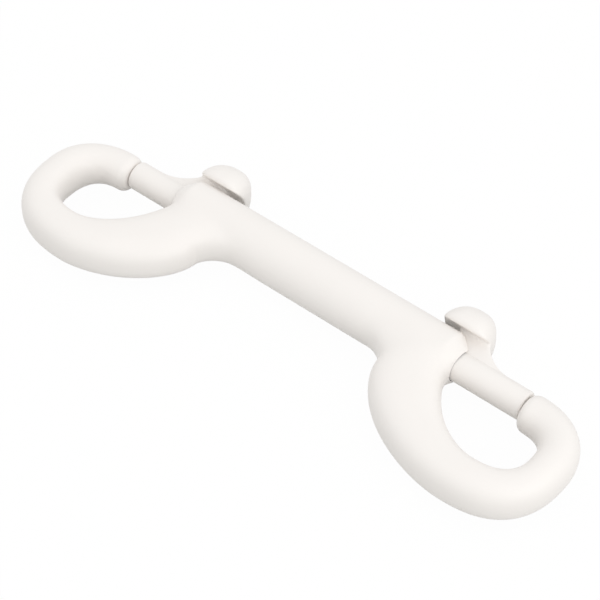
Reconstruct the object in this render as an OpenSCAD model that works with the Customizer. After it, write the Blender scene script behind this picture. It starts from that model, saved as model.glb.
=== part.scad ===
// Double ended bolt snap: a cast body with a barrel and an open hook at each end,
// and in each barrel a spring loaded bolt with a thumb button that shuts the hook.
// X runs along the stem, the thumb buttons point to +Y, the hooks bow to -Y.
// The snap lies on its flat side on Z = 0, and the origin is the middle of the
// ground that it covers. Lengths are millimetres.

/* [Body] */
// Length of the snap over both hooks
overall_len = 115; // [112:0.5:125]
// Diameter of the stem and of the two barrels in it
stem_d = 10.3; // [9.6:0.1:11]
// How far the stem and both its barrels sit towards the left-hand hook
stem_shift = 1.5; // [0:0.1:2]
// Mean distance from an end of the snap back to its barrel's mouth
mouth_back = 26.3; // [25.8:0.1:27.2]
// Length of the taper at each barrel's mouth
mouth_taper = 2.5; // [1.5:0.1:3.5]
// Wall left round the bore at the mouth
mouth_wall = 0.5; // [0.3:0.1:1]
// Solid metal left between the middle of the stem and each bore
core_half = 3.5; // [2:0.5:6]

/* [Hooks] */
// Depth of each eye below the bolt's axis
eye_depth = 15.6; // [14:0.1:17]
// Distance from each end of the snap back to its eye's lowest point
eye_low_back = 13.9; // [12.5:0.1:15.5]
// Level of the eye's far end below the bolt's axis
eye_end_drop = 9.9; // [9:0.1:11.5]
// How far inside the barrel's mouth the eye's curve starts
eye_start_back = 1.2; // [0.8:0.1:1.6]
// Level of that start above the bolt's axis
eye_start_rise = 0.7; // [0:0.1:1]
// Width of the hook's arm at its lowest point
arm_w_low = 7.9; // [7:0.1:9]
// Width of the hook's arm at its far end
arm_w_end = 6.9; // [6.4:0.1:7.8]
// How much nearer the middle the arm's lowest outer point lies than the eye's
arm_lead = 1.9; // [0.5:0.1:2.5]
// Mean distance from an end of the snap back to its hook's shoulder at the stem
shoulder_back = 37.4; // [36.5:0.1:38.9]
// Level of that shoulder below the bolt's axis
shoulder_drop = 8.7; // [8:0.1:10]
// Length along the stem of the fillet that joins hook and stem
fillet_len = 6.6; // [4.5:0.1:8]
// Thickness of the arm where it leaves the barrel
arm_t_root = 9; // [8:0.1:9.6]
// Thickness of the arm at its lowest point
arm_t_low = 8.5; // [7.8:0.1:9.6]
// Thickness of the arm at its far end
arm_t_end = 8.3; // [7.4:0.1:9.2]

/* [Nose] */
// Distance from each end of the snap back to its nose's end face
nose_back = 13.9; // [12.5:0.1:14.5]
// Width and thickness of the nose
nose_d = 6.9; // [6:0.1:7.4]
// How far the nose's middle lies below the bolt's axis
nose_drop = 0.8; // [0.3:0.1:1]
// Rounding of the nose's end
nose_round = 1.5; // [0.4:0.1:1.8]

/* [Bolts] */
// Diameter of each bolt
bolt_d = 5.4; // [5:0.1:6]
// Length of each bolt
bolt_len = 19.5; // [18.5:0.5:21]
// Edge break at both ends of a bolt
bolt_edge = 0.35; // [0.2:0.05:0.6]
// Radial clearance between a bolt and its bore
bolt_gap = 0.06; // [0.03:0.01:0.1]
// Gap between a shut bolt and the nose
nose_gap = 0.2; // [0.1:0.05:0.4]
// How far each bolt slides back
bolt_travel = 11; // [9:0.5:11.5]

/* [Thumb buttons] */
// Thickness of the web between a bolt and its button
web_t = 3.9; // [3:0.1:4.4]
// Clearance on each side of the web in its slot
web_gap = 0.15; // [0.1:0.05:0.3]
// Distance from a shut bolt's front end to the web's front at the button
web_front = 11.3; // [11.1:0.1:12]
// Length of the web along the bolt, at the button
web_len = 6; // [5:0.1:6.5]
// Radius of the hollow that runs from the bolt up the web's front
web_hollow_r = 9; // [5:0.5:10]
// Distance from a shut bolt's front end to the middle of its button
button_back = 16.1; // [15.6:0.1:16.6]
// Length of the button along the bolt
button_len = 10.2; // [9.6:0.1:11]
// Width of the button across the barrel
button_w = 11.2; // [10.4:0.1:12]
// Level of the button's lower edge above the bolt's axis
button_edge_y = 4.3; // [3.9:0.1:4.6]
// Level at which the button is widest
button_waist_y = 5.2; // [4.8:0.1:6]
// Rounding of the button in from its waist to its lower edge
button_round = 1.3; // [0.6:0.1:1.6]
// Level of the button's top above the bolt's axis
button_top_y = 11.6; // [10.6:0.1:12.2]
// Gap between the button's hollow underside and the barrel
button_gap = 0.4; // [0.3:0.05:0.7]
// How far both buttons sit towards the left-hand hook
button_shift = 0.5; // [0:0.1:0.8]

/* [Springs] */
// Wire diameter of each spring
wire_d = 0.6; // [0.5:0.05:0.7]
// Clearance between a spring's coils and the bore
coil_gap = 0.2; // [0.15:0.05:0.4]
// Number of turns of each spring
coil_turns = 10; // [7:1:11]
// Clearance between a spring and what it bears on
seat_gap = 0.03; // [0.02:0.01:0.1]

/* [Hidden] */

$fn = 96;

// How far a cut or a hidden root runs on past the surface that it crosses
past = 1;

// Distances from the middle of the snap
end_x = overall_len / 2;
mouth_x = end_x - mouth_back;
eye_low_x = end_x - eye_low_back;
shoulder_x = end_x - shoulder_back;
nose_x = end_x - nose_back;

bore_d = bolt_d + 2 * bolt_gap;
bolt_front = nose_x - nose_gap;
bolt_tail = bolt_front - bolt_len;
web_front_x = bolt_front - web_front;
web_rear_x = web_front_x - web_len;
button_x = bolt_front - button_back;
hollow_top_y = stem_d / 2 + button_gap;
slot_w = web_t + 2 * web_gap;
slot_end_x = web_rear_x - bolt_travel - web_gap;
nose_y = -nose_drop;
arm_low_y = -eye_depth - arm_w_low;
ground_z = -max(stem_d, button_w) / 2;

// Faces round the arm's section and rings along each quarter of the hook
section_sides = 28;
root_rings = 8;
quarter_rings = 14;
nose_rings = 4;

// Squareness of the arm's section: 2 is an ellipse, more is a rounded plate
root_square = 2.7;
nose_square = 2.1;

// Squareness of each quarter of the eye and of the hook's outer outline
eye_square = [1.73, 2.6, 2.65];
outer_square = [1.75, 2.45, 2.15];

// Squareness of the fillet at the stem: 1 is a straight gusset
fillet_square = 1.6;

// How far the arm's root runs back inside the barrel
root_run = 12;
root_dip = 1;

// Share of its thickness that the root has where it starts in the stem
root_thin = 0.75;

// Squareness of the button in plan and in profile
button_plan_square = 2.7;
button_rise_square = 1.9;
button_sides = 40;
button_rings = 9;
button_low_rings = 3;

// Share of the button's width that its topmost ring keeps
button_tip = 0.02;

// Steps along the hollow of a web's front
web_steps = 8;

// Rings along each turn of a spring, and faces round its wire
turn_rings = 16;
wire_sides = 6;

// One quarter of a rounded outline round the middle c: u runs from 0 to 1,
// from the point c + from to the point c + to, each along one axis
function quarter(c, from, to, u, n = 2) =
    c + from * pow(cos(90 * u), 2 / n) + to * pow(sin(90 * u), 2 / n);

// Where the eye's curve starts in a barrel that is shifted along X
function eye_start(shift) = [mouth_x + shift - eye_start_back, eye_start_rise];

// The eye's outline, from the mouth down and round to the nose
function eye_edge(s, shift) =
    s < 1 ? quarter([eye_low_x, eye_start_rise], [eye_start(shift)[0] - eye_low_x, 0],
                    [0, -eye_start_rise - eye_depth], s, eye_square[0])
    : s < 2 ? quarter([eye_low_x, -eye_end_drop], [0, eye_end_drop - eye_depth],
                      [end_x - arm_w_end - eye_low_x, 0], s - 1, eye_square[1])
    : quarter([nose_x + nose_round, -eye_end_drop],
              [end_x - arm_w_end - nose_x - nose_round, 0],
              [0, eye_end_drop + nose_y - nose_d / 2], s - 2, eye_square[2]);

// The hook's outer outline, over the same quarters
function outer_edge(s, shift) =
    let (low_x = eye_low_x - arm_lead)
    s < 1 ? quarter([low_x, -shoulder_drop], [shoulder_x + shift - low_x, 0],
                    [0, shoulder_drop + arm_low_y], s, outer_square[0])
    : s < 2 ? quarter([low_x, -shoulder_drop], [0, shoulder_drop + arm_low_y],
                      [end_x - low_x, 0], s - 1, outer_square[1])
    : quarter([nose_x + nose_round, -shoulder_drop], [end_x - nose_x - nose_round, 0],
              [0, shoulder_drop + nose_y + nose_d / 2], s - 2, outer_square[2]);

// Before the first quarter the outer side is the fillet that runs up to the stem,
// and the inner side runs back inside the barrel
function root_outer(u, shift) =
    quarter([shoulder_x + shift - fillet_len, -shoulder_drop],
            [0, shoulder_drop - stem_d / 2 + root_dip / 2], [fillet_len, 0],
            u, fillet_square);
function root_inner(u, shift) =
    eye_start(shift) - [root_run, root_dip] * (1 - u);

function mix(a, b, u) = a + (b - a) * u;
function smooth(u) = u * u * (3 - 2 * u);

// Half the arm's thickness along the hook
function half_t(s) =
    s < 0 ? mix(root_thin, 1, smooth(1 + s)) * arm_t_root / 2
    : s < 1 ? mix(arm_t_root, arm_t_low, smooth(s)) / 2
    : s < 2 ? mix(arm_t_low, arm_t_end, smooth(s - 1)) / 2
    : mix(arm_t_end, nose_d, smooth(s - 2)) / 2;

function squareness(s) = mix(root_square, nose_square, max(0, s) / 3);

function sgn_pow(v, p) = sign(v) * pow(abs(v), p);

// One ring of points round the arm, from its two edges
function ring(inner, outer, h, n) = [
    for (k = [0:section_sides - 1])
        let (a = 360 * k / section_sides,
             across = sgn_pow(cos(a), 2 / n),
             up = sgn_pow(sin(a), 2 / n),
             p = (inner + outer) / 2 + (inner - outer) / 2 * across)
        [p[0], p[1], h * up]
];

function arm_ring(s, shift) = s < 0
    ? ring(root_inner(1 + s, shift), root_outer(1 + s, shift), half_t(s), squareness(s))
    : ring(eye_edge(s, shift), outer_edge(s, shift), half_t(s), squareness(s));

// The nose's rounded end: the last ring, drawn in as it nears the end face
function nose_ring(k) =
    let (a = 90 * k / nose_rings,
         r = nose_d / 2 - nose_round * (1 - cos(a)),
         x = nose_x + nose_round * (1 - sin(a)))
    ring([x, nose_y - r], [x, nose_y + r], r, nose_square);

function hook_rings(shift) = concat(
    [for (k = [0:root_rings - 1]) arm_ring(k / root_rings - 1, shift)],
    [for (k = [0:3 * quarter_rings]) arm_ring(k / quarter_rings, shift)],
    [for (k = [1:nose_rings]) nose_ring(k)]
);

// A closed skin over rings of equally many points
module skin(rings) {
    n = len(rings[0]);
    m = len(rings);
    points = [for (r = rings) each r];
    sides = [
        for (i = [0:m - 2], k = [0:n - 1])
            let (a = i * n + k, b = i * n + (k + 1) % n)
            each [[a, b + n, b], [a, a + n, b + n]]
    ];
    first = [for (k = [0:n - 1]) k];
    last = [for (k = [n - 1:-1:0]) (m - 1) * n + k];
    polyhedron(points, concat([first], sides, [last]), convexity = 8);
}

// Solid of revolution round X, from its half profile in x and radius
module turned(profile) {
    rotate([90, 0, 90]) rotate_extrude() rotate(90) mirror([0, 1]) polygon(profile);
}

// Stem and barrels, tapered at both mouths
module stem() {
    r = stem_d / 2;
    tip_r = bore_d / 2 + mouth_wall;
    turned([[-mouth_x, 0], [-mouth_x, tip_r], [mouth_taper - mouth_x, r],
            [mouth_x - mouth_taper, r], [mouth_x, tip_r], [mouth_x, 0]]);
}

// Bore for one bolt, blind towards the middle of the stem
module bore(shift) {
    translate([core_half, 0, 0]) rotate([0, 90, 0])
        cylinder(d = bore_d, h = mouth_x + shift - core_half + past);
}

// Slot for the web, open at the mouth, in the barrel's +Y wall. Its rounded end
// lies past the web's square back when the bolt is drawn right back.
module slot(shift, web_shift) {
    end_x = slot_end_x + web_shift;
    rotate([-90, 0, 0]) {
        translate([end_x, 0, 0]) cylinder(d = slot_w, h = stem_d);
        translate([end_x, -slot_w / 2, 0])
            cube([mouth_x + shift + past - end_x, slot_w, stem_d]);
    }
}

module half_cuts(shift, web_shift) {
    bore(shift);
    slot(shift, web_shift);
}

module body() {
    placed("white") difference() {
        union() {
            translate([-stem_shift, 0, 0]) stem();
            skin(hook_rings(-stem_shift));
            mirror([1, 0, 0]) skin(hook_rings(stem_shift));
        }
        half_cuts(-stem_shift, -button_shift);
        mirror([1, 0, 0]) half_cuts(stem_shift, button_shift);
    }
}

// The web's front sweeps up in a hollow from the line where its flat sides meet
// the bolt, and on into the button
module web(shift) {
    foot_y = sqrt(pow(bolt_d / 2, 2) - pow(web_t / 2, 2));
    top_y = hollow_top_y + past;
    turn = acos(1 - (hollow_top_y - foot_y) / web_hollow_r);
    top_turn = acos(1 - (top_y - foot_y) / web_hollow_r);
    rear_x = web_rear_x + shift;
    hollow_x = web_front_x + shift + web_hollow_r * sin(turn);
    front = [for (i = [0:web_steps])
        let (a = top_turn * i / web_steps)
        [hollow_x - web_hollow_r * sin(a), foot_y + web_hollow_r * (1 - cos(a))]];
    translate([0, 0, -web_t / 2]) linear_extrude(web_t)
        polygon(concat([[rear_x, 0], [hollow_x, 0]], front, [[rear_x, top_y]]));
}

// Level and half sizes of the button: turn is -90 to 0 from the lower edge up to the
// waist, and 0 to 90 on to the top
function button_level(turn) = turn < 0
    ? mix(button_waist_y, button_edge_y, -sin(turn))
    : mix(button_waist_y, button_top_y, pow(sin(turn), 2 / button_rise_square));
function button_reach(half, turn) = turn < 0
    ? half - button_round * (1 - cos(turn))
    : half * max(button_tip, pow(cos(turn), 2 / button_rise_square));
function button_ring(x, turn) =
    let (reach = button_reach(button_len / 2, turn), side = button_reach(button_w / 2, turn))
    [for (k = [0:button_sides - 1])
        let (a = -360 * k / button_sides)
        [x + reach * sgn_pow(cos(a), 2 / button_plan_square), button_level(turn),
         side * sgn_pow(sin(a), 2 / button_plan_square)]];

// A domed button, hollowed underneath to ride over the barrel
module button(shift) {
    x = button_x + shift;
    turns = concat([for (i = [0:button_low_rings - 1]) 90 * i / button_low_rings - 90],
                   [for (i = [0:button_rings]) 90 * i / button_rings]);
    difference() {
        skin([for (turn = turns) button_ring(x, turn)]);
        translate([x - button_len, 0, 0]) rotate([0, 90, 0])
            cylinder(r = hollow_top_y, h = 2 * button_len);
    }
}

// Bolt, web and button are one casting
module bolt(shift) {
    r = bolt_d / 2;
    turned([[bolt_tail, 0], [bolt_tail, r - bolt_edge], [bolt_tail + bolt_edge, r],
            [bolt_front - bolt_edge, r], [bolt_front, r - bolt_edge], [bolt_front, 0]]);
    web(shift);
    button(shift);
}

// Sets the snap down on the ground, with the origin in the middle under it
module placed(colour) {
    color(colour) translate([0, -(button_top_y + arm_low_y) / 2, -ground_z]) children();
}

module right_bolt() {
    placed("white") bolt(-button_shift);
}

module left_bolt() {
    placed("white") mirror([1, 0, 0]) bolt(button_shift);
}

// Coil spring between the bore's blind end and the bolt's tail
module spring() {
    coil_r = bore_d / 2 - coil_gap - wire_d / 2;
    x0 = core_half + seat_gap + wire_d / 2;
    x1 = bolt_tail - seat_gap - wire_d / 2;
    steps = turn_rings * coil_turns;
    skin([for (i = [0:steps])
        let (a = 360 * coil_turns * i / steps, x = mix(x0, x1, i / steps))
        [for (k = [0:wire_sides - 1])
            let (b = 360 * k / wire_sides, r = coil_r + wire_d / 2 * cos(b))
            [x + wire_d / 2 * sin(b), r * cos(a), r * sin(a)]]]);
}

module right_spring() {
    placed("silver") spring();
}

module left_spring() {
    placed("silver") mirror([1, 0, 0]) spring();
}

body();
right_bolt();
left_bolt();
right_spring();
left_spring();
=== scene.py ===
"""A white coated double ended bolt snap, lying flat on a pale floor.

Lengths are metres in the row frame: +X runs along the stem, the thumb buttons
point to +Y and the hooks bow to -Y. The two ends mirror each other, apart from the
stem with its barrels and the thumb buttons, which sit a little towards the left.
"""

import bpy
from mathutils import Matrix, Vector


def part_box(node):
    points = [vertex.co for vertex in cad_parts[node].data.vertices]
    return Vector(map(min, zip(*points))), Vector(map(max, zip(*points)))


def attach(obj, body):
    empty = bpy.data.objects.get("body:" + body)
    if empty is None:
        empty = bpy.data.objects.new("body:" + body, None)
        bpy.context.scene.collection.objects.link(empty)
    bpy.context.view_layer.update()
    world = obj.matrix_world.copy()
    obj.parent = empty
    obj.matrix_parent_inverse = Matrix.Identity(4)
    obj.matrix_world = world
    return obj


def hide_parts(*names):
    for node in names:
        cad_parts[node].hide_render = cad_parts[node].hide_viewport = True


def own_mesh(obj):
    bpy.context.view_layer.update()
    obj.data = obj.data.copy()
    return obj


bl_info = {
    "name": "Double Ended Bolt Snap",
    "version": (1, 0, 0),
    "blender": (4, 5, 0),
    "location": "View3D > Sidebar > Bolt Snap",
    "description": "Models a coated cast snap with a sliding spring bolt at each end",
    "category": "Object",
}

import math
from collections import namedtuple

import bmesh
import bpy
from mathutils import Matrix, Vector

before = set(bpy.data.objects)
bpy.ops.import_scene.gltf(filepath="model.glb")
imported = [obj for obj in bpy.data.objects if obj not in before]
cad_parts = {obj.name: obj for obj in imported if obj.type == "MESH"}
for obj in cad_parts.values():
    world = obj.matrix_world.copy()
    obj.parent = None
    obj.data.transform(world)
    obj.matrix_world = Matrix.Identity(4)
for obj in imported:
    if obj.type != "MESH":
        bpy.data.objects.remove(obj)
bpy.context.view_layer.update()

MM = 0.001
BODY_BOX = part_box("body")
BOLT_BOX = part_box("right_bolt")
SPRING_LOW, SPRING_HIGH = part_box("right_spring")

# The axis that both bolts slide along, and the two ends that matter on it
AXIS = Vector((0, (SPRING_LOW.y + SPRING_HIGH.y) / 2, (SPRING_LOW.z + SPRING_HIGH.z) / 2))
END_X = BODY_BOX[1].x
BOLT_TAIL = BOLT_BOX[0].x
BOLT_FRONT = BOLT_BOX[1].x

# Points that lie nearer together than this are one
SMALLEST_STEP = 1e-7


def linear(hex_colour):
    """An sRGB hex colour as linear red, green, blue and alpha."""
    parts = [int(hex_colour[i:i + 2], 16) / 255 for i in (0, 2, 4)]
    return (*[c / 12.92 if c <= 0.04045 else ((c + 0.055) / 1.055) ** 2.4 for c in parts], 1.0)


def length(name, description, mm):
    """A size in millimetres as a property in Blender's length unit."""
    return bpy.props.FloatProperty(
        name=name, description=description, default=mm * MM, min=0.0, unit="LENGTH", precision=5
    )


def share(name, description, value, top=1.0):
    """A plain number from 0 to top as a property."""
    return bpy.props.FloatProperty(
        name=name, description=description, default=value, min=0.0, max=top, subtype="FACTOR"
    )


def angle(name, description, degrees):
    """An angle in degrees as a property, which Blender keeps in radians."""
    return bpy.props.FloatProperty(
        name=name, description=description, default=math.radians(degrees), subtype="ANGLE"
    )


def colour(name, description, hex_colour):
    """A colour as a property, kept in linear values as Blender's colour fields are."""
    return bpy.props.FloatVectorProperty(
        name=name, description=description, default=linear(hex_colour), size=4, min=0.0, max=1.0,
        subtype="COLOR",
    )


class SnapBodySizes(bpy.types.PropertyGroup):
    """Sizes of the cast body: the stem with a barrel and a hook at each end."""

    stem_d: length("Stem Diameter", "Diameter of the stem and of the two barrels in it", 10.3)
    stem_shift: length(
        "Stem Shift", "How far stem and barrels sit towards the left-hand hook", 1.5
    )
    mouth_back: length(
        "Mouth Setback", "Mean distance from an end back to its barrel's mouth", 26.3
    )
    mouth_taper: length("Mouth Taper", "Length of the taper at each barrel's mouth", 2.5)
    mouth_wall: length("Mouth Wall", "Wall left round the bore at the mouth", 0.5)
    core_half: length(
        "Solid Core", "Solid metal between the middle of the stem and each bore", 3.5
    )
    bore_d: length("Bore Diameter", "Diameter of each bore", 5.52)
    bore_break: length("Bore Edge Break", "Edge break round the mouth of each bore", 0.2)
    slot_w: length("Slot Width", "Width of the slot that the web runs in", 4.2)
    slot_end_x: length(
        "Slot End", "From the middle to where each slot's round end starts", 14.95
    )
    eye_depth: length("Eye Depth", "Depth of each eye below the bolt's axis", 15.6)
    eye_low_back: length(
        "Eye Low Setback", "From each end back to its eye's lowest point", 13.9
    )
    eye_end_drop: length(
        "Eye End Level", "Level of the eye's far end below the bolt's axis", 9.9
    )
    eye_start_back: length("Eye Start Setback", "How far inside the mouth the eye starts", 1.2)
    eye_start_rise: length("Eye Start Level", "Level of that start above the bolt's axis", 0.7)
    arm_w_low: length("Arm Width, Lowest", "Width of the arm at its lowest point", 7.9)
    arm_w_end: length("Arm Width, Far End", "Width of the arm at its far end", 6.9)
    arm_lead: length("Arm Lead", "How much nearer the middle the arm's lowest point lies", 1.9)
    shoulder_back: length(
        "Shoulder Setback", "Mean distance from an end back to the shoulder at the stem", 37.4
    )
    shoulder_drop: length(
        "Shoulder Level", "Level of that shoulder below the bolt's axis", 8.7
    )
    fillet_len: length("Shoulder Fillet", "Length of the fillet that joins hook and stem", 6.6)
    arm_t_root: length("Arm Thickness, Root", "Thickness where the arm leaves the barrel", 9)
    arm_t_low: length("Arm Thickness, Lowest", "Thickness at the arm's lowest point", 8.5)
    arm_t_end: length("Arm Thickness, Far End", "Thickness at the arm's far end", 8.3)
    nose_back: length("Nose Setback", "From each end back to its nose's end face", 13.9)
    nose_d: length("Nose Width", "Width and thickness of the nose", 6.9)
    nose_drop: length(
        "Nose Level", "How far the nose's middle lies below the bolt's axis", 0.8
    )
    nose_round: length("Nose Rounding", "Rounding of the nose's end", 1.5)
    grain: length("Mesh Size", "Size of the faces that the casting is made of", 0.28)


class SnapBoltSizes(bpy.types.PropertyGroup):
    """Sizes of a sliding bolt with its web and thumb button."""

    bolt_d: length("Bolt Diameter", "Diameter of each bolt", 5.4)
    edge: length("Edge Break", "Edge break at both ends of a bolt", 0.35)
    web_t: length("Web Thickness", "Thickness of the web between bolt and button", 3.9)
    web_front: length(
        "Web Setback", "Mean distance from a bolt's front end to the web's front", 11.3
    )
    web_len: length("Web Length", "Length of the web along the bolt, at the button", 6)
    web_hollow_r: length("Web Hollow", "Radius of the hollow up the web's front", 9)
    button_back: length(
        "Button Setback", "Mean distance from a bolt's front end to its button's middle", 16.1
    )
    button_len: length("Button Length", "Length of the button along the bolt", 10.2)
    button_w: length("Button Width", "Width of the button across the barrel", 11.2)
    button_edge_y: length(
        "Button Edge", "Level of the button's lower edge above the axis", 4.3
    )
    button_waist_y: length(
        "Button Waist", "Level above the axis at which the button is widest", 5.2
    )
    button_round: length("Button Rounding", "Rounding of the button in under its waist", 1.3)
    button_top_y: length("Button Top", "Level of the button's top above the axis", 11.6)
    button_shift: length(
        "Button Shift", "How far both buttons sit towards the left-hand hook", 0.5
    )
    hollow_r: length("Button Hollow", "Radius of the hollow that rides over the barrel", 6.1)
    grain: length("Mesh Size", "Size of the faces that the casting is made of", 0.15)


class SnapSpringSizes(bpy.types.PropertyGroup):
    """Sizes of the coil spring behind each bolt."""

    wire_d: length("Wire Diameter", "Diameter of the spring's wire", 0.6)
    coil_gap: length("Coil Clearance", "Clearance between the coils and the bore", 0.2)
    closed_pitch: length("Closed Pitch", "Pitch of the closed turn at each end", 0.63)
    open_turns: bpy.props.IntProperty(
        name="Open Turns", description="Turns between the two closed ends", default=8,
        min=3, max=12,
    )


class SnapFinish(bpy.types.PropertyGroup):
    """Colours and gloss of the coating and of the bare metal."""

    coat: colour("Coating", "Colour of the baked white coating", "F8F4F0")
    coat_thin: colour("Coating, Thin", "Colour where the coating is thinnest", "F5F1ED")
    coat_roughness: share("Coating Roughness", "0 is mirror gloss and 1 is dead matt", 0.46)
    zinc: colour("Bare Zinc", "Colour of the uncoated casting alloy in the bores", "8C8E90")
    wire: colour("Spring Wire", "Colour of the bright spring wire", "C2C4C6")


class SnapStage(bpy.types.PropertyGroup):
    """Floor, light and camera."""

    floor: colour("Floor", "Colour of the floor as it lights the snap", "C2C2C0")
    shadow: share("Shadow", "How much of the snap's shadow the floor shows", 0.05)
    sky: share("Sky Light", "Strength of the even light from all round", 0.94, 4.0)
    key: bpy.props.FloatProperty(
        name="Key Lamp", description="Power of the low soft lamp at the right", default=0.98,
        min=0.0, unit="POWER",
    )
    azimuth: angle("Azimuth", "Direction that the camera looks from", 38.55)
    elevation: angle("Elevation", "Height of the camera above the horizon", 47.45)
    roll: angle("Roll", "Turn of the camera about its own line of sight", 0.709)
    distance: length("Distance", "From the camera to the point that it looks at", 366.25)
    lens: bpy.props.FloatProperty(
        name="Lens", description="Focal length in millimetres on a 36 mm sensor", default=126.66,
        min=10.0,
    )


# One section of a drawn-out bar: its two edge points in plan, half its thickness,
# and its squareness, where 2 is an ellipse and more is a rounded plate
Section = namedtuple("Section", "inner outer half_t square")


def focus(piece):
    """Leaves only this piece selected and active."""
    bpy.ops.object.select_all(action="DESELECT")
    piece.select_set(True)
    bpy.context.view_layer.objects.active = piece


def edit(piece, all_selected=True):
    """Goes into edit mode on this piece alone."""
    focus(piece)
    bpy.ops.object.mode_set(mode="EDIT")
    bpy.ops.mesh.select_all(action="SELECT" if all_selected else "DESELECT")


def leave_edit():
    """Goes back to object mode, with the edited mesh kept."""
    bpy.ops.object.mode_set(mode="OBJECT")


def settle(piece, name):
    """Names a new piece and puts its place and turn into its mesh."""
    focus(piece)
    bpy.ops.object.transform_apply(location=True, rotation=True, scale=True)
    piece.name = piece.data.name = name
    return piece


def finish_with(piece, kind, **settings):
    """Adds one modifier, sets it and applies it."""
    focus(piece)
    bpy.ops.object.modifier_add(type=kind)
    modifier = piece.modifiers[-1]
    for name, value in settings.items():
        setattr(modifier, name, value)
    bpy.ops.object.modifier_apply(modifier=modifier.name)


def join_or_cut(piece, tool, operation):
    """Unites the piece with the tool, or cuts the tool out of it, and removes the tool."""
    finish_with(
        piece, "BOOLEAN", operation=operation, solver="MANIFOLD", object=tool,
        material_mode="TRANSFER",
    )
    bpy.data.objects.remove(tool)


def ease(piece, steps, group=""):
    """Smooths a mesh in steps that each go halfway, by the weights of a group if it has one."""
    finish_with(piece, "SMOOTH", factor=0.5, iterations=steps, vertex_group=group)


def shade_smooth(piece, crisp_from):
    """Shades a piece smoothly, but for edges that turn by more than this many degrees."""
    focus(piece)
    bpy.ops.object.shade_smooth_by_angle(angle=math.radians(crisp_from))


def give_finish(piece, material):
    """Puts one material on the whole piece."""
    piece.data.materials.clear()
    piece.data.materials.append(material)


def outward(piece):
    """Merges doubles and points all faces outward."""
    edit(piece)
    bpy.ops.mesh.remove_doubles(threshold=SMALLEST_STEP)
    bpy.ops.mesh.normals_make_consistent(inside=False)
    leave_edit()


def mirror_across(piece):
    """Mirrors a piece to the left-hand half."""
    edit(piece)
    bpy.ops.transform.mirror(constraint_axis=(True, False, False), center_override=(0, 0, 0))
    bpy.ops.mesh.normals_make_consistent(inside=False)
    leave_edit()
    return piece


def mirrored(piece, name):
    """A copy with its own mesh, mirrored to the left-hand half."""
    focus(piece)
    bpy.ops.object.duplicate()
    copy = bpy.context.object
    copy.name = copy.data.name = name
    return mirror_across(copy)


def ramp(value, start, end):
    """Smooth step from 0 at start to 1 at end, which may lie either way round."""
    u = min(1.0, max(0.0, (value - start) / (end - start)))
    return u * u * (3 - 2 * u)


def plateau(value, marks):
    """1 between the two inner marks, from where it falls smoothly to 0 at the outer ones."""
    return ramp(value, marks[0], marks[1]) * ramp(value, marks[3], marks[2])


def weigh(piece, name, weight_at):
    """Makes a vertex group from a function of each vertex's place relative to the axis."""
    group = piece.vertex_groups.new(name=name)
    for vertex in piece.data.vertices:
        weight = weight_at(vertex.co - AXIS)
        if weight > 0:
            group.add([vertex.index], weight, "REPLACE")


def bulge(square):
    """How far a squared unit section stands out past a circle, halfway between two sides."""
    return 2 ** (-1 / square) - 2 ** (-1 / 2)


def draw_out(name, sections, segments=12, shortest_side=1e-4):
    """Draws a rounded section out through a list of sections, ring by ring, as a closed bar.

    It starts as a square, 2 across, whose corners are bevelled all the way to a squared
    circle, and sides under the shortest one are merged there.
    """
    square = sections[0].square
    bpy.ops.object.select_all(action="DESELECT")
    bpy.ops.mesh.primitive_plane_add(size=2, rotation=(math.radians(90), 0, 0))
    bar = settle(bpy.context.object, name)
    edit(bar)
    bpy.ops.mesh.bevel(
        offset=1, segments=segments, profile=2 ** (-2 / square), affect="VERTICES"
    )
    bpy.ops.mesh.select_all(action="SELECT")
    bpy.ops.mesh.remove_doubles(threshold=shortest_side)
    centre, heading, half_w, half_t = Vector((0, 0, 0)), 0.0, 1.0, 1.0
    for k, section in enumerate(sections):
        if k:
            bpy.ops.mesh.extrude_region_move()
        across = Vector((*(section.inner - section.outer), 0))
        middle = Vector((*(section.inner + section.outer) / 2, 0))
        bpy.ops.transform.translate(value=middle - centre)
        # With no window a positive value turns clockwise
        bpy.ops.transform.rotate(value=heading, orient_axis="Z", center_override=middle)
        bpy.ops.transform.resize(
            value=(1 / half_w, 1, 1 / half_t), center_override=middle
        )
        grown = 1.0
        if section.square < square:
            rounder = 1 - bulge(section.square) / bulge(square)
            bpy.ops.transform.tosphere(value=rounder, center_override=middle)
            ring = bmesh.from_edit_mesh(bar.data).verts
            grown = max(v.co.z for v in ring if v.select)
            square = section.square
        half_w, half_t = across.length / 2, section.half_t
        bpy.ops.transform.resize(
            value=(half_w / grown, 1, half_t / grown), center_override=middle
        )
        heading = math.atan2(across.y, across.x)
        bpy.ops.transform.rotate(value=-heading, orient_axis="Z", center_override=middle)
        centre = middle
    leave_edit()
    outward(bar)
    edit(bar)
    bpy.ops.transform.translate(value=AXIS)
    leave_edit()
    return bar


def bar_along_x(name, radius, start, end, sides=96):
    """A round bar on the bolt's axis."""
    bpy.ops.object.select_all(action="DESELECT")
    bpy.ops.mesh.primitive_cylinder_add(
        vertices=sides, radius=radius, depth=end - start, rotation=(0, math.radians(90), 0),
        location=AXIS + Vector(((start + end) / 2, 0, 0)),
    )
    return settle(bpy.context.object, name)


def draw_end(bar, side, steps, facing=0.9):
    """Draws a bar's end face on along X; each step is a length and the scale it ends at.

    The end face is the one whose normal has more than the share facing along X.
    """
    edit(bar, all_selected=False)
    bpy.ops.mesh.select_mode(type="FACE")
    mesh = bmesh.from_edit_mesh(bar.data)
    for face in mesh.faces:
        face.select_set(face.normal.x * side > facing)
    mesh.select_flush_mode()
    bmesh.update_edit_mesh(bar.data)
    for forward, scale in steps:
        bpy.ops.mesh.extrude_region_move(
            TRANSFORM_OT_translate={"value": (side * forward, 0, 0)}
        )
        bpy.ops.transform.resize(value=(1, scale, scale), center_override=AXIS)
    leave_edit()


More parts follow.
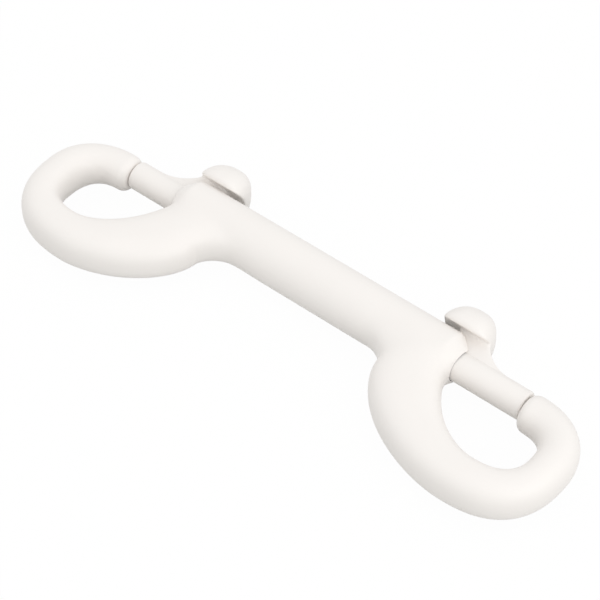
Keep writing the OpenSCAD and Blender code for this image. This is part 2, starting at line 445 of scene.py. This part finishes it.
def block(name, low, high):
    """A block between two corners, given relative to the axis."""
    bpy.ops.object.select_all(action="DESELECT")
    bpy.ops.mesh.primitive_cube_add(
        size=1, location=AXIS + (Vector(low) + Vector(high)) / 2,
        scale=Vector(high) - Vector(low),
    )
    return settle(bpy.context.object, name)


def select_edges(piece, wanted):
    """In edit mode, selects the edges whose two ends satisfy a function of their places."""
    bpy.ops.mesh.select_mode(type="EDGE")
    mesh = bmesh.from_edit_mesh(piece.data)
    for edge in mesh.edges:
        a, b = (v.co - AXIS for v in edge.verts)
        edge.select_set(wanted(a, b))
    mesh.select_flush_mode()
    bmesh.update_edit_mesh(piece.data)


def quarter(centre, start, end, u, square):
    """One quarter of a rounded outline: u runs from 0 at centre + start to 1 at centre + end."""
    turn = math.pi / 2 * u
    return (
        centre
        + start * max(0.0, math.cos(turn)) ** (2 / square)
        + end * math.sin(turn) ** (2 / square)
    )


class Hook:
    """Plan of a right-hand hook, as points relative to the bolt's axis.

    The shift moves its barrel's mouth and its shoulder along X. The place s along the arm
    is -1 to 0 in the root, 0 to 1 from the mouth to the lowest point, 1 to 2 on to the far
    end and 2 to 3 back round to the nose.
    """

    # Squareness of the three quarters of each edge, of the fillet, and of the arm's section
    eye_square = (1.73, 2.6, 2.65)
    outer_square = (1.75, 2.45, 2.15)
    fillet_square = 1.6
    root_square = 2.7
    nose_square = 2.1
    # How far the root runs back and down inside the barrel, and the share it thins to
    root_run = 12 * MM
    root_dip = 1 * MM
    root_thin = 0.75

    def __init__(self, sizes, shift):
        self.sizes = sizes
        self.mouth_x = END_X - sizes.mouth_back + shift
        self.low_x = END_X - sizes.eye_low_back
        self.nose_x = END_X - sizes.nose_back
        self.shoulder_x = END_X - sizes.shoulder_back + shift
        self.start_x = self.mouth_x - sizes.eye_start_back

    def eye_edge(self, s):
        """The arm's edge round the eye."""
        z = self.sizes
        if s < 1:
            return quarter(
                Vector((self.low_x, z.eye_start_rise)), Vector((self.start_x - self.low_x, 0)),
                Vector((0, -z.eye_start_rise - z.eye_depth)), s, self.eye_square[0],
            )
        far = END_X - z.arm_w_end
        if s < 2:
            return quarter(
                Vector((self.low_x, -z.eye_end_drop)), Vector((0, z.eye_end_drop - z.eye_depth)),
                Vector((far - self.low_x, 0)), s - 1, self.eye_square[1],
            )
        turn_x = self.nose_x + z.nose_round
        return quarter(
            Vector((turn_x, -z.eye_end_drop)), Vector((far - turn_x, 0)),
            Vector((0, z.eye_end_drop - z.nose_drop - z.nose_d / 2)), s - 2, self.eye_square[2],
        )

    def outer_edge(self, s):
        """The arm's edge round the outside."""
        z = self.sizes
        low_x = self.low_x - z.arm_lead
        down = Vector((0, z.shoulder_drop - z.eye_depth - z.arm_w_low))
        level = -z.shoulder_drop
        if s < 1:
            return quarter(
                Vector((low_x, level)), Vector((self.shoulder_x - low_x, 0)), down, s,
                self.outer_square[0],
            )
        if s < 2:
            return quarter(
                Vector((low_x, level)), down, Vector((END_X - low_x, 0)), s - 1,
                self.outer_square[1],
            )
        turn_x = self.nose_x + z.nose_round
        return quarter(
            Vector((turn_x, level)), Vector((END_X - turn_x, 0)),
            Vector((0, z.shoulder_drop - z.nose_drop + z.nose_d / 2)), s - 2,
            self.outer_square[2],
        )

    def half_thickness(self, s):
        """Half the arm's thickness, which changes smoothly from mark to mark."""
        z = self.sizes
        marks = (z.arm_t_root, z.arm_t_low, z.arm_t_end, z.nose_d)
        if s <= 0:
            return marks[0] / 2 * (self.root_thin + (1 - self.root_thin) * ramp(s, -1, 0))
        k = min(2, int(s))
        return (marks[k] + (marks[k + 1] - marks[k]) * ramp(s - k, 0, 1)) / 2

    def section(self, s):
        """The arm's section at a place along it, also in the root inside the barrel."""
        square = self.root_square + (self.nose_square - self.root_square) * max(0, s) / 3
        if s >= 0:
            return Section(self.eye_edge(s), self.outer_edge(s), self.half_thickness(s), square)
        z = self.sizes
        outer = quarter(
            Vector((self.shoulder_x - z.fillet_len, -z.shoulder_drop)),
            Vector((0, z.shoulder_drop - z.stem_d / 2 + self.root_dip / 2)),
            Vector((z.fillet_len, 0)), 1 + s, self.fillet_square,
        )
        inner = Vector((self.start_x + self.root_run * s, z.eye_start_rise + self.root_dip * s))
        return Section(inner, outer, self.half_thickness(s), square)

    def nose_sections(self, steps=6):
        """The sections that round the edge of the nose's end face."""
        z = self.sizes
        for k in range(1, steps + 1):
            turn = math.pi / 2 * k / steps
            radius = z.nose_d / 2 - z.nose_round * (1 - math.cos(turn))
            x = self.nose_x + z.nose_round * (1 - math.sin(turn))
            yield Section(
                Vector((x, -z.nose_drop - radius)), Vector((x, -z.nose_drop + radius)), radius,
                self.nose_square,
            )

    def sections(self, root_steps=10, quarter_steps=20):
        """All sections, from inside the barrel to the nose's end face."""
        rows = [self.section(k / root_steps - 1) for k in range(root_steps)]
        rows += [self.section(k / quarter_steps) for k in range(3 * quarter_steps + 1)]
        return rows + list(self.nose_sections())


def add_node(tree, kind, settings=None, links=None):
    """Adds a node, sets its properties or input values, and links sockets into its inputs."""
    made = tree.nodes.new(kind)
    for name, value in (settings or {}).items():
        if isinstance(name, int) or name in made.inputs:
            made.inputs[name].default_value = value
        else:
            setattr(made, name, value)
    for name, source in (links or {}).items():
        tree.links.new(source, made.inputs[name])
    return made


# In a Mix node, the inputs of its two colours and the output of the mixed one
MIX_A, MIX_B, MIXED = 6, 7, 2


def darkened(tone, kept):
    """A linear colour of which only this share is kept."""
    return (*(kept * c for c in tone[:3]), 1.0)


def new_material(name):
    """A material with an empty node tree."""
    material = bpy.data.materials.new(name)
    material.use_nodes = True
    material.node_tree.nodes.clear()
    return material, material.node_tree


def baked_white_coating(finish):
    """Powder coating baked on zinc: an even warm white, satin, with a faint orange peel."""
    material, tree = new_material("baked_white_coating")
    place = add_node(tree, "ShaderNodeTexCoord").outputs["Object"]
    # The powder lies a little thicker here and there, over about 9 mm
    build = add_node(
        tree, "ShaderNodeTexNoise", {"Scale": 1 / (9 * MM), "Detail": 2.0, "Roughness": 0.5},
        {"Vector": place},
    )
    tint = add_node(
        tree, "ShaderNodeMix",
        {"data_type": "RGBA", MIX_A: finish.coat, MIX_B: finish.coat_thin},
        {0: build.outputs["Fac"]},
    )
    # Orange peel: waves of about 0.9 mm that flow out as the powder melts
    peel = add_node(
        tree, "ShaderNodeTexNoise", {"Scale": 1 / (0.9 * MM), "Detail": 1.0, "Roughness": 0.4},
        {"Vector": place},
    )
    # Fine grit of the powder, about 0.2 mm, drawn a little coarser than the real one
    grit = add_node(
        tree, "ShaderNodeTexNoise", {"Scale": 1 / (0.2 * MM), "Detail": 2.0, "Roughness": 0.6},
        {"Vector": place},
    )
    flow = add_node(
        tree, "ShaderNodeBump", {"Strength": 0.35, "Distance": 0.02 * MM},
        {"Height": peel.outputs["Fac"]},
    )
    surface = add_node(
        tree, "ShaderNodeBump", {"Strength": 0.25, "Distance": 0.004 * MM},
        {"Height": grit.outputs["Fac"], "Normal": flow.outputs["Normal"]},
    )
    # The hollows of the peel are a little glossier than its crests
    glossier, duller = 0.04, 0.05
    gloss = add_node(
        tree, "ShaderNodeMapRange",
        {"From Min": 0.3, "From Max": 0.7, "To Min": finish.coat_roughness - glossier,
         "To Max": finish.coat_roughness + duller},
        {"Value": peel.outputs["Fac"]},
    )
    shader = add_node(
        tree, "ShaderNodeBsdfPrincipled", {"IOR": 1.5},
        {"Base Color": tint.outputs[MIXED], "Roughness": gloss.outputs["Result"],
         "Normal": surface.outputs["Normal"]},
    )
    add_node(tree, "ShaderNodeOutputMaterial", {}, {"Surface": shader.outputs["BSDF"]})
    return material


def drilled_zinc(finish):
    """Zinc die casting alloy bared by the drill in the bores: dull grey with turned rings."""
    material, tree = new_material("drilled_zinc")
    place = add_node(tree, "ShaderNodeTexCoord").outputs["Object"]
    # Feed marks of the drill, 0.5 mm apart along the bore; at a scale of 1 the bands lie
    # a tenth of pi apart
    unscaled = 0.314
    rings = add_node(
        tree, "ShaderNodeTexWave",
        {"wave_type": "BANDS", "bands_direction": "X", "Scale": unscaled / (0.5 * MM),
         "Distortion": 0.6, "Detail": 1.0},
        {"Vector": place},
    )
    # Where the bared metal has dulled, in blotches of about 1.5 mm
    blotch = add_node(
        tree, "ShaderNodeTexNoise", {"Scale": 1 / (1.5 * MM), "Detail": 3.0}, {"Vector": place}
    )
    tone = add_node(
        tree, "ShaderNodeMix",
        {"data_type": "RGBA", MIX_A: finish.zinc, MIX_B: darkened(finish.zinc, kept=0.7)},
        {0: blotch.outputs["Fac"]},
    )
    marks = add_node(
        tree, "ShaderNodeBump", {"Strength": 0.5, "Distance": 0.01 * MM},
        {"Height": rings.outputs["Fac"]},
    )
    shader = add_node(
        tree, "ShaderNodeBsdfPrincipled", {"Metallic": 1.0, "Roughness": 0.5},
        {"Base Color": tone.outputs[MIXED], "Normal": marks.outputs["Normal"]},
    )
    add_node(tree, "ShaderNodeOutputMaterial", {}, {"Surface": shader.outputs["BSDF"]})
    return material


def drawn_spring_wire(finish):
    """Bright drawn spring steel: clean grey metal, finely scratched and slightly oil-stained."""
    material, tree = new_material("drawn_spring_wire")
    place = add_node(tree, "ShaderNodeTexCoord").outputs["Object"]
    # Oil stains of about 1.2 mm
    stain = add_node(
        tree, "ShaderNodeTexNoise", {"Scale": 1 / (1.2 * MM), "Detail": 3.0}, {"Vector": place}
    )
    tone = add_node(
        tree, "ShaderNodeMix",
        {"data_type": "RGBA", MIX_A: finish.wire, MIX_B: darkened(finish.wire, kept=0.72)},
        {0: stain.outputs["Fac"]},
    )
    # Marks of the drawing die, drawn coarser than the real ones so that they show
    scratch = add_node(
        tree, "ShaderNodeTexNoise", {"Scale": 1 / (0.12 * MM), "Detail": 2.0}, {"Vector": place}
    )
    surface = add_node(
        tree, "ShaderNodeBump", {"Strength": 0.3, "Distance": 0.005 * MM},
        {"Height": scratch.outputs["Fac"]},
    )
    gloss = add_node(
        tree, "ShaderNodeMapRange", {"To Min": 0.24, "To Max": 0.4},
        {"Value": stain.outputs["Fac"]},
    )
    shader = add_node(
        tree, "ShaderNodeBsdfPrincipled", {"Metallic": 1.0},
        {"Base Color": tone.outputs[MIXED], "Roughness": gloss.outputs["Result"],
         "Normal": surface.outputs["Normal"]},
    )
    add_node(tree, "ShaderNodeOutputMaterial", {}, {"Surface": shader.outputs["BSDF"]})
    return material


def shared(make, finish):
    """The material named as its function is, made when a piece first asks for it."""
    return bpy.data.materials.get(make.__name__) or make(finish)


class SNAP_OT_cast_body(bpy.types.Operator):
    """Model the cast body: stem, two hooks, slots and bores"""

    bl_idname = "snap.cast_body"
    bl_label = "Cast Body"

    # Smoothing steps for the whole casting, and for the valleys between hook and stem
    ease_steps = 8
    valley_steps = 120
    # Where a valley starts and is full, and the same at its end: along the stem from the
    # middle, and across it from its -Y side
    valley_x = (11 * MM, 15 * MM, 29 * MM, 33 * MM)
    valley_y = (-3.9 * MM, -0.9 * MM, 2.6 * MM, 5.1 * MM)
    # How far the drill reaches out of the mouth
    drill_clear = 3 * MM

    def stem(self, sizes, right_mouth, left_mouth):
        """The stem with its two barrels, tapered at both mouths."""
        taper = sizes.mouth_taper
        start, end = taper - left_mouth, right_mouth - taper
        stem = bar_along_x("stem", sizes.stem_d / 2, start, end, sides=128)
        tip = (sizes.bore_d + 2 * sizes.mouth_wall) / sizes.stem_d
        for side in (1, -1):
            draw_end(stem, side, [(taper, tip)])
        return stem

    def slot_cutter(self, sizes, mouth_x, end_x):
        """A block as wide as the slot, with a round inner end."""
        half = sizes.slot_w / 2
        low, high = (end_x - half, 0, -half), (mouth_x + half, sizes.stem_d, half)
        cutter = block("slot_cutter", low, high)
        edit(cutter, all_selected=False)
        select_edges(cutter, lambda a, b: abs(a.y - b.y) > half and max(a.x, b.x) < end_x)
        bpy.ops.mesh.bevel(offset=half, segments=12, affect="EDGES")
        leave_edit()
        outward(cutter)
        return cutter

    def bore_cutter(self, sizes, mouth_x):
        """A drill whose front widens to break the bore's edge."""
        radius, edge = sizes.bore_d / 2, sizes.bore_break
        cutter = bar_along_x("bore_cutter", radius, sizes.core_half, mouth_x - edge)
        draw_end(cutter, 1, [(edge, 1 + edge / radius), (self.drill_clear, 1)])
        return cutter

    def execute(self, context):
        sizes = context.scene.snap_body
        finish = context.scene.snap_finish
        right, left = Hook(sizes, -sizes.stem_shift), Hook(sizes, sizes.stem_shift)

        body = self.stem(sizes, right.mouth_x, left.mouth_x)
        join_or_cut(body, draw_out("hook", right.sections()), "UNION")
        join_or_cut(body, mirror_across(draw_out("hook", left.sections())), "UNION")
        web_shift = context.scene.snap_bolt.button_shift
        right_slot = self.slot_cutter(sizes, right.mouth_x, sizes.slot_end_x - web_shift)
        left_slot = self.slot_cutter(sizes, left.mouth_x, sizes.slot_end_x + web_shift)
        join_or_cut(body, right_slot, "DIFFERENCE")
        join_or_cut(body, mirror_across(left_slot), "DIFFERENCE")
        settle(body, "body_casting")

        # The casting has no sharp corner: one even mesh, eased all over, and eased much
        # more in the valley between each hook and the stem
        finish_with(body, "REMESH", mode="VOXEL", voxel_size=sizes.grain)
        weigh(body, "valley", lambda place: (
            plateau(abs(place.x), self.valley_x)
            * plateau(place.y + sizes.stem_d / 2, self.valley_y)
        ))
        ease(body, self.valley_steps, "valley")
        ease(body, self.ease_steps)
        body.vertex_groups.clear()

        give_finish(body, shared(baked_white_coating, finish))
        zinc = shared(drilled_zinc, finish)
        for bore in (
            self.bore_cutter(sizes, right.mouth_x),
            mirror_across(self.bore_cutter(sizes, left.mouth_x)),
        ):
            give_finish(bore, zinc)
            join_or_cut(body, bore, "DIFFERENCE")
        shade_smooth(body, crisp_from=35)
        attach(body, "body")
        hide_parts("body")
        return {"FINISHED"}


class SNAP_OT_cast_bolts(bpy.types.Operator):
    """Model both bolts, each with its web and thumb button"""

    bl_idname = "snap.cast_bolts"
    bl_label = "Cast Bolts"

    # Squareness of the button in plan and in profile
    plan_square = 2.7
    rise_square = 1.9
    # How far the web reaches up past the button's hollow
    web_root = 1 * MM
    # Smoothing steps for the whole casting, and for what lies above the bolt
    ease_steps = 4
    blend_steps = 40
    # Levels where the latter starts and is full, in radii of the bolt
    blend_levels = (0.6, 1.1)

    def bar(self, sizes):
        """The round bolt, with the edges of both ends broken."""
        bar = bar_along_x("bar", sizes.bolt_d / 2, BOLT_TAIL, BOLT_FRONT)
        edit(bar, all_selected=False)
        select_edges(bar, lambda a, b: abs(a.x - b.x) < SMALLEST_STEP)
        bpy.ops.mesh.bevel(offset=sizes.edge, segments=3, profile=0.5, affect="EDGES")
        leave_edit()
        return bar

    def web(self, sizes, shift):
        """A block with a hollow up its front, from the bolt to the button."""
        half, radius = sizes.web_t / 2, sizes.web_hollow_r
        foot = math.sqrt((sizes.bolt_d / 2) ** 2 - half**2)
        front = BOLT_FRONT - sizes.web_front + shift
        hollow_x = front + radius * math.sin(math.acos(1 - (sizes.hollow_r - foot) / radius))
        low, high = (front - sizes.web_len, 0), (hollow_x, sizes.hollow_r + self.web_root)
        web = block("web", (*low, -half), (*high, half))
        bpy.ops.object.select_all(action="DESELECT")
        bpy.ops.mesh.primitive_cylinder_add(
            vertices=192, radius=radius, depth=4 * half,
            location=AXIS + Vector((hollow_x, foot + radius, 0)),
        )
        join_or_cut(web, settle(bpy.context.object, "hollow"), "DIFFERENCE")
        return web

    def button(self, sizes, shift, low_steps=8, steps=20, tip=0.02):
        """A dome on a rounded lower edge, hollowed underneath to ride over the barrel.

        Its topmost ring keeps the share tip of the button's width.
        """
        middle_x = BOLT_FRONT - sizes.button_back + shift
        waist, half_len, half_w = sizes.button_waist_y, sizes.button_len / 2, sizes.button_w / 2
        power = 2 / self.rise_square
        rows = []
        for k in range(-low_steps, steps + 1):
            if k < 0:
                turn = math.pi / 2 * k / low_steps
                level = waist + (waist - sizes.button_edge_y) * math.sin(turn)
                inward = sizes.button_round * (1 - math.cos(turn))
                reach, side = half_len - inward, half_w - inward
            else:
                turn = math.pi / 2 * k / steps
                level = waist + (sizes.button_top_y - waist) * math.sin(turn) ** power
                shrink = max(tip, max(0, math.cos(turn)) ** power)
                reach, side = half_len * shrink, half_w * shrink
            rows.append(Section(
                Vector((middle_x + reach, level)), Vector((middle_x - reach, level)), side,
                self.plan_square,
            ))
        button = draw_out("button", rows)
        start, end = middle_x - sizes.button_len, middle_x + sizes.button_len
        hollow = bar_along_x("hollow", sizes.hollow_r, start, end, sides=128)
        join_or_cut(button, hollow, "DIFFERENCE")
        return button

    def bolt(self, sizes, shift):
        """A right-hand bolt, its web and button set off along X by the shift."""
        bolt = self.bar(sizes)
        join_or_cut(bolt, self.web(sizes, shift), "UNION")
        join_or_cut(bolt, self.button(sizes, shift), "UNION")
        finish_with(bolt, "REMESH", mode="VOXEL", voxel_size=sizes.grain)
        low, high = (level * sizes.bolt_d / 2 for level in self.blend_levels)
        weigh(bolt, "blends", lambda place: ramp(place.y, low, high))
        ease(bolt, self.blend_steps, "blends")
        ease(bolt, self.ease_steps)
        bolt.vertex_groups.clear()
        return bolt

    def execute(self, context):
        sizes = context.scene.snap_bolt
        coat = shared(baked_white_coating, context.scene.snap_finish)
        right = self.bolt(sizes, -sizes.button_shift)
        left = mirror_across(self.bolt(sizes, sizes.button_shift))
        for piece, node in ((right, "right_bolt"), (left, "left_bolt")):
            settle(piece, node + "_casting")
            shade_smooth(piece, crisp_from=35)
            give_finish(piece, coat)
            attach(piece, node)
            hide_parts(node)
        return {"FINISHED"}


class SNAP_OT_wind_springs(bpy.types.Operator):
    """Model the right-hand coil spring with its closed ends, and mirror it for the left"""

    bl_idname = "snap.wind_springs"
    bl_label = "Wind Springs"

    # Faces round the wire and along one turn
    wire_sides = 14
    turn_steps = 32
    # Ends of windings that lie nearer together than this are joined
    weld = 0.01 * MM

    def winding(self, sizes, coil_r, start, pitch, turns):
        """A stretch of coil round the X axis, from a ring that the screw carries along."""
        bpy.ops.object.select_all(action="DESELECT")
        bpy.ops.mesh.primitive_circle_add(
            vertices=self.wire_sides, radius=sizes.wire_d / 2, fill_type="NOTHING",
            location=(start, 0, coil_r), rotation=(math.radians(90), 0, 0),
        )
        coil = settle(bpy.context.object, "winding")
        finish_with(
            coil, "SCREW", axis="X", angle=math.tau, screw_offset=pitch, iterations=turns,
            steps=self.turn_steps, render_steps=self.turn_steps, use_merge_vertices=False,
        )
        return coil

    def execute(self, context):
        sizes = context.scene.snap_spring
        coil_r = context.scene.snap_body.bore_d / 2 - sizes.coil_gap - sizes.wire_d / 2
        first = SPRING_LOW.x + sizes.wire_d / 2
        last = SPRING_HIGH.x - sizes.wire_d / 2
        closed = sizes.closed_pitch
        open_pitch = (last - first - 2 * closed) / sizes.open_turns
        spring = self.winding(sizes, coil_r, first, closed, 1)
        middle = self.winding(sizes, coil_r, first + closed, open_pitch, sizes.open_turns)
        tail = self.winding(sizes, coil_r, last - closed, closed, 1)
        focus(spring)
        middle.select_set(True)
        tail.select_set(True)
        bpy.ops.object.join()
        spring.name = spring.data.name = "right_spring_coil"
        edit(spring)
        bpy.ops.mesh.remove_doubles(threshold=self.weld)
        bpy.ops.mesh.select_all(action="DESELECT")
        bpy.ops.mesh.select_mode(type="EDGE")
        bpy.ops.mesh.select_non_manifold()
        bpy.ops.mesh.fill()
        bpy.ops.mesh.select_all(action="SELECT")
        bpy.ops.mesh.normals_make_consistent(inside=False)
        bpy.ops.transform.translate(value=AXIS)
        leave_edit()
        shade_smooth(spring, crisp_from=40)
        give_finish(spring, shared(drawn_spring_wire, context.scene.snap_finish))
        other = mirrored(spring, "left_spring_coil")
        for piece, side, way in ((spring, "right", 1), (other, "left", -1)):
            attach(piece, "body")
            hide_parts(side + "_spring")
            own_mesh(piece)
        return {"FINISHED"}


class SNAP_OT_set_stage(bpy.types.Operator):
    """Lay the pale floor, light it and place the camera"""

    bl_idname = "snap.set_stage"
    bl_label = "Set Stage"

    # Brightness of the open floor under sky and lamp, where 1 is white
    floor_level = 0.55
    floor_size = 4
    lamp_size = 0.5
    lamp_place = Vector((0.62, -0.13, 0.3))
    # What the camera looks at, from the middle of the bolts' axis
    target = Vector((-0.798, -5.227, 0)) * MM

    def seen(self, tree):
        """1 for rays that see the surface, straight on, mirrored or through glass."""
        ray = add_node(tree, "ShaderNodeLightPath").outputs
        either = ray["Is Camera Ray"]
        for kind in ("Is Glossy Ray", "Is Transmission Ray"):
            either = add_node(
                tree, "ShaderNodeMath", {"operation": "MAXIMUM"}, {0: either, 1: ray[kind]}
            ).outputs[0]
        return either

    def floor(self, stage):
        """A floor that looks white and lights the snap as a pale one does."""
        bpy.ops.object.select_all(action="DESELECT")
        bpy.ops.mesh.primitive_plane_add(size=self.floor_size)
        floor = settle(bpy.context.object, "floor")
        material, tree = new_material("pale_studio_floor")
        # To the rays that see it the floor is this much glow, and its shadow shows in the rest
        white = add_node(
            tree, "ShaderNodeMath", {"operation": "MULTIPLY", 1: 1 - stage.shadow},
            {0: self.seen(tree)},
        )
        pale = add_node(tree, "ShaderNodeBsdfDiffuse", {"Color": stage.floor})
        # Lit floor and glow add up to plain white away from the snap
        glow = add_node(
            tree, "ShaderNodeEmission",
            {"Color": (1, 1, 1, 1),
             "Strength": (1 - self.floor_level * stage.shadow) / (1 - stage.shadow)},
        )
        mixed = add_node(
            tree, "ShaderNodeMixShader", {},
            {0: white.outputs[0], 1: pale.outputs[0], 2: glow.outputs[0]},
        )
        # From underneath the floor isn't there, so that the snap's underside can be seen
        clear = add_node(tree, "ShaderNodeBsdfTransparent")
        side = add_node(tree, "ShaderNodeNewGeometry").outputs["Backfacing"]
        both = add_node(
            tree, "ShaderNodeMixShader", {}, {0: side, 1: mixed.outputs[0], 2: clear.outputs[0]}
        )
        add_node(tree, "ShaderNodeOutputMaterial", {}, {"Surface": both.outputs[0]})
        give_finish(floor, material)

    def sky(self, stage):
        """Even light from all round, which itself looks white."""
        world = bpy.data.worlds.new("studio")
        bpy.context.scene.world = world
        world.use_nodes = True
        tree = world.node_tree
        tree.nodes.clear()
        even, white = (
            add_node(tree, "ShaderNodeBackground", {"Color": (1, 1, 1, 1), "Strength": strength})
            for strength in (stage.sky, 1.0)
        )
        mixed = add_node(
            tree, "ShaderNodeMixShader", {},
            {0: self.seen(tree), 1: even.outputs[0], 2: white.outputs[0]},
        )
        add_node(tree, "ShaderNodeOutputWorld", {}, {"Surface": mixed.outputs[0]})

    def lamp(self, stage):
        """A square soft lamp that points at the snap."""
        bpy.ops.object.light_add(type="AREA", location=self.lamp_place)
        lamp = bpy.context.object
        lamp.name = lamp.data.name = "key_lamp"
        lamp.data.energy = stage.key
        lamp.data.size = self.lamp_size
        lamp.rotation_euler = (-self.lamp_place).to_track_quat("-Z", "Y").to_euler()

    def camera(self, stage):
        """The camera, at the photo's own angle."""
        back = Vector((
            math.sin(stage.azimuth) * math.cos(stage.elevation),
            -math.cos(stage.azimuth) * math.cos(stage.elevation),
            math.sin(stage.elevation),
        ))
        level = Vector((math.cos(stage.azimuth), math.sin(stage.azimuth), 0))
        upright = back.cross(level)
        right = math.cos(stage.roll) * level + math.sin(stage.roll) * upright
        up = math.cos(stage.roll) * upright - math.sin(stage.roll) * level
        bpy.ops.object.camera_add()
        camera = bpy.context.object
        camera.name = camera.data.name = "camera"
        turn = Matrix((right, up, back)).transposed().to_4x4()
        place = AXIS + self.target + back * stage.distance
        camera.matrix_world = Matrix.Translation(place) @ turn
        camera.data.lens = stage.lens
        camera.data.sensor_width = 36
        camera.data.clip_start = 0.01
        camera.data.clip_end = 20
        bpy.context.scene.camera = camera

    def execute(self, context):
        stage = context.scene.snap_stage
        self.floor(stage)
        self.sky(stage)
        self.lamp(stage)
        self.camera(stage)
        context.scene.view_settings.view_transform = "Standard"
        return {"FINISHED"}


class SNAP_PT_parts(bpy.types.Panel):
    """Lists the snap's pieces and their sizes"""

    bl_label = "Bolt Snap"
    bl_space_type = "VIEW_3D"
    bl_region_type = "UI"
    bl_category = "Bolt Snap"

    def draw(self, context):
        rows = (
            (SNAP_OT_cast_body, "snap_body"), (SNAP_OT_cast_bolts, "snap_bolt"),
            (SNAP_OT_wind_springs, "snap_spring"), (SNAP_OT_set_stage, "snap_stage"),
        )
        for operator, group in rows:
            box = self.layout.box()
            box.operator(operator.bl_idname)
            for name in getattr(context.scene, group).__annotations__:
                box.prop(getattr(context.scene, group), name)
        box = self.layout.box()
        for name in SnapFinish.__annotations__:
            box.prop(context.scene.snap_finish, name)


GROUPS = {
    "snap_body": SnapBodySizes, "snap_bolt": SnapBoltSizes, "snap_spring": SnapSpringSizes,
    "snap_finish": SnapFinish, "snap_stage": SnapStage,
}
CLASSES = (
    *GROUPS.values(), SNAP_OT_cast_body, SNAP_OT_cast_bolts, SNAP_OT_wind_springs,
    SNAP_OT_set_stage, SNAP_PT_parts,
)


def register():
    """Registers the classes and gives each scene its sizes and colours."""
    for cls in CLASSES:
        bpy.utils.register_class(cls)
    for name, group in GROUPS.items():
        setattr(bpy.types.Scene, name, bpy.props.PointerProperty(type=group))


def unregister():
    """Takes the sizes, colours and classes away again."""
    for name in GROUPS:
        delattr(bpy.types.Scene, name)
    for cls in reversed(CLASSES):
        bpy.utils.unregister_class(cls)


def main():
    register()
    bpy.ops.snap.set_stage()
    bpy.ops.snap.cast_body()
    bpy.ops.snap.cast_bolts()
    bpy.ops.snap.wind_springs()


if __name__ == "__main__":
    main()
